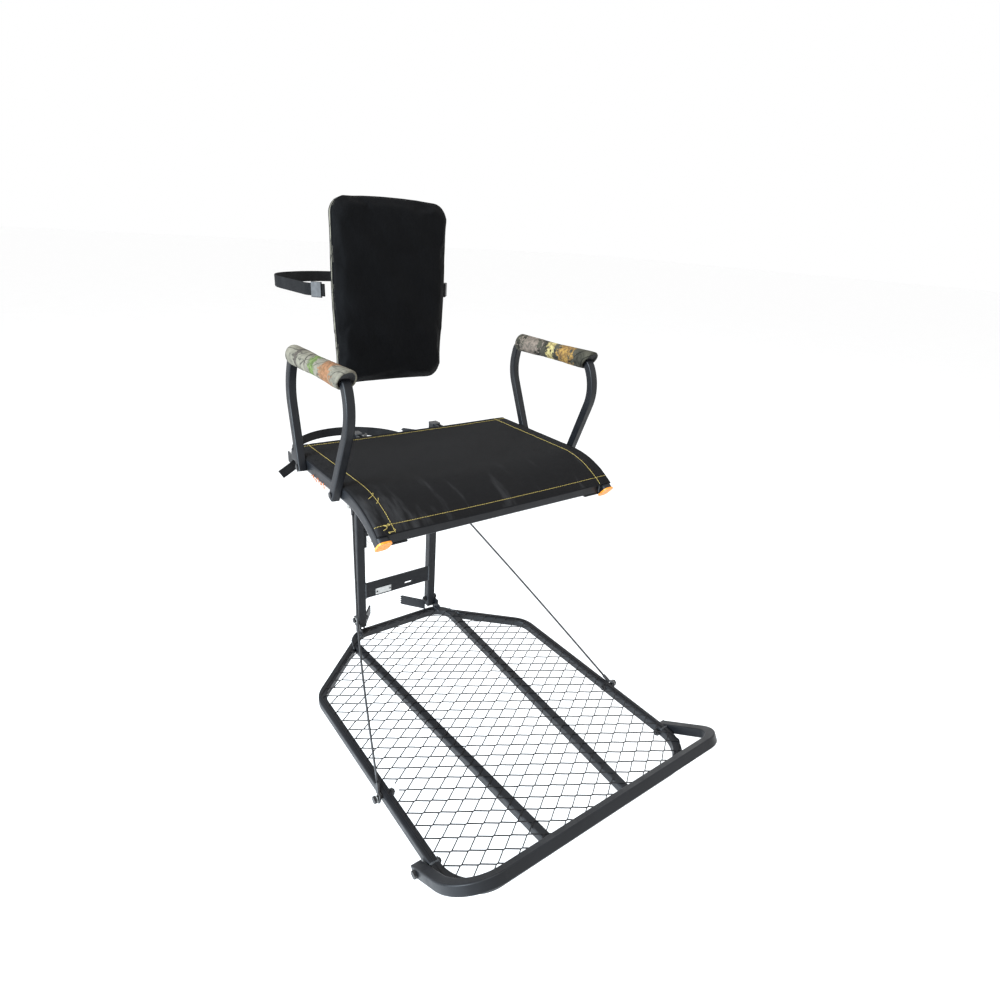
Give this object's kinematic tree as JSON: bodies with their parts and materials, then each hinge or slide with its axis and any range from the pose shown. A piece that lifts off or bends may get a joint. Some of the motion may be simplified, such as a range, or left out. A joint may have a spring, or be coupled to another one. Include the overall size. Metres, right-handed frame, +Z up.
{
  "type": "hang-on tree stand",
  "caption": "Hunter's hang-on tree stand: slim post, folding mesh platform on two cables, flip-up seat with padded arms, footrest, strapped backrest.",
  "frame": {"origin": "where the stand bears on the tree, on its middle plane, level with the centre of the platform's tubes", "axes": "+Z up, +X to the sitter's left, +Y into the tree, so the sitter faces -Y"},
  "size_m": [0.6826, 1.2141, 1.0587],
  "materials": {
    "powder_coat": "textured satin powder coat",
    "black_hardware": "black oxide, dull",
    "zinc_hardware": "zinc plated, dull",
    "webbing": "woven, matt",
    "black_plastic": "moulded, matt",
    "orange_plastic": "moulded, satin",
    "seat_textile": "tight woven mesh with gold stitching",
    "backrest_cover": "smooth woven cover over foam",
    "dark_pad_cover": "printed leaf pattern over foam",
    "light_pad_cover": "printed bark pattern over foam",
    "plate_metal": "blank, dark anodised",
    "cable_jacket": "plastic covered steel cable",
    "cable_crimp": "covered crimp and eye"
  },
  "bodies": {
    "post": {"left_upright": "powder_coat", "right_upright": "powder_coat", "upright_plugs": "black_plastic", "mid_crossbar": "powder_coat", "upper_crossbar": "powder_coat", "id_plate": "plate_metal", "left_lower_blade": "powder_coat", "right_lower_blade": "powder_coat", "left_upper_blade": "powder_coat", "right_upper_blade": "powder_coat", "left_strap_plate": "powder_coat", "right_strap_plate": "powder_coat", "left_seat_lug": "powder_coat", "right_seat_lug": "powder_coat", "platform_bolts": "black_hardware", "upper_cable_bolts": "zinc_hardware", "seat_bolts": "black_hardware", "tree_strap": "webbing", "strap_buckle": "zinc_hardware", "strap_tail": "webbing", "pin_lug": "powder_coat", "left_cable_top_end": "cable_crimp", "right_cable_top_end": "cable_crimp"},
    "strap_lever": {"strap_lever": "black_hardware"},
    "lock_pin": {"lock_pin": "zinc_hardware"},
    "pin_ring": {"pin_ring": "zinc_hardware"},
    "platform": {"platform_inner_tube": "powder_coat", "left_platform_tube": "powder_coat", "right_platform_tube": "powder_coat", "platform_front_tube": "powder_coat", "platform_mesh": "powder_coat", "left_platform_ear": "powder_coat", "right_platform_ear": "powder_coat", "lower_cable_bolts": "black_hardware", "footrest_bolts": "black_hardware", "left_cable": "cable_jacket", "right_cable": "cable_jacket", "left_cable_low_end": "cable_crimp", "right_cable_low_end": "cable_crimp"},
    "footrest": {"footrest_tube": "powder_coat", "footrest_plugs": "black_plastic"},
    "seat": {"left_seat_rail": "powder_coat", "right_seat_rail": "powder_coat", "left_rail_cap": "orange_plastic", "right_rail_cap": "orange_plastic", "rail_rear_plugs": "black_plastic", "seat_rear_tube": "powder_coat", "seat_front_tube": "powder_coat", "seat_gussets": "powder_coat", "left_seat_ear": "powder_coat", "right_seat_ear": "powder_coat", "seat_fabric": "seat_textile", "left_armrest_tube": "powder_coat", "right_armrest_tube": "powder_coat", "left_arm_pad": "dark_pad_cover", "right_arm_pad": "light_pad_cover", "armrest_bolts": "black_hardware"},
    "backrest": {"backrest_pad": "backrest_cover", "backrest_strap": "webbing", "backrest_adjusters": "black_plastic"}
  },
  "joints": [
    {"name": "platform_fold", "type": "hinge", "parent": "post", "child": "platform", "pos_m": [0, -0.06, 0.04], "axis": [-1, 0, 0], "range_deg": [0, 76], "deforming": ["left_cable", "right_cable"]},
    {"name": "seat_fold", "type": "hinge", "parent": "post", "child": "seat", "pos_m": [0, -0.107, 0.537], "axis": [-1, 0, 0], "range_deg": [0, 87.5]},
    {"name": "footrest_flip", "type": "hinge", "parent": "platform", "child": "footrest", "pos_m": [0, -0.743, -0.004], "axis": [-1, 0, 0], "range_deg": [0, 130]},
    {"name": "backrest_height", "type": "slide", "parent": "post", "child": "backrest", "axis": [0, 0, 1], "range_m": [-0.05, 0.12]},
    {"name": "buckle_lever", "type": "hinge", "parent": "post", "child": "strap_lever", "pos_m": [-0.17725, 0.14637, 0.43], "axis": [0, 0, 1], "range_deg": [0, 60]},
    {"name": "lock_pin_pull", "type": "slide", "parent": "post", "child": "lock_pin", "axis": [0, -1, 0], "range_m": [0, 0.03]},
    {"name": "ring_swing", "type": "hinge", "parent": "lock_pin", "child": "pin_ring", "pos_m": [-0.0865, -0.0855, 0.299], "axis": [-1, 0, 0], "range_deg": [0, 80]}
  ],
  "couplings": [
    {"joint": "seat_fold", "follows": "platform_fold", "ratio": 1.15}
  ]
}
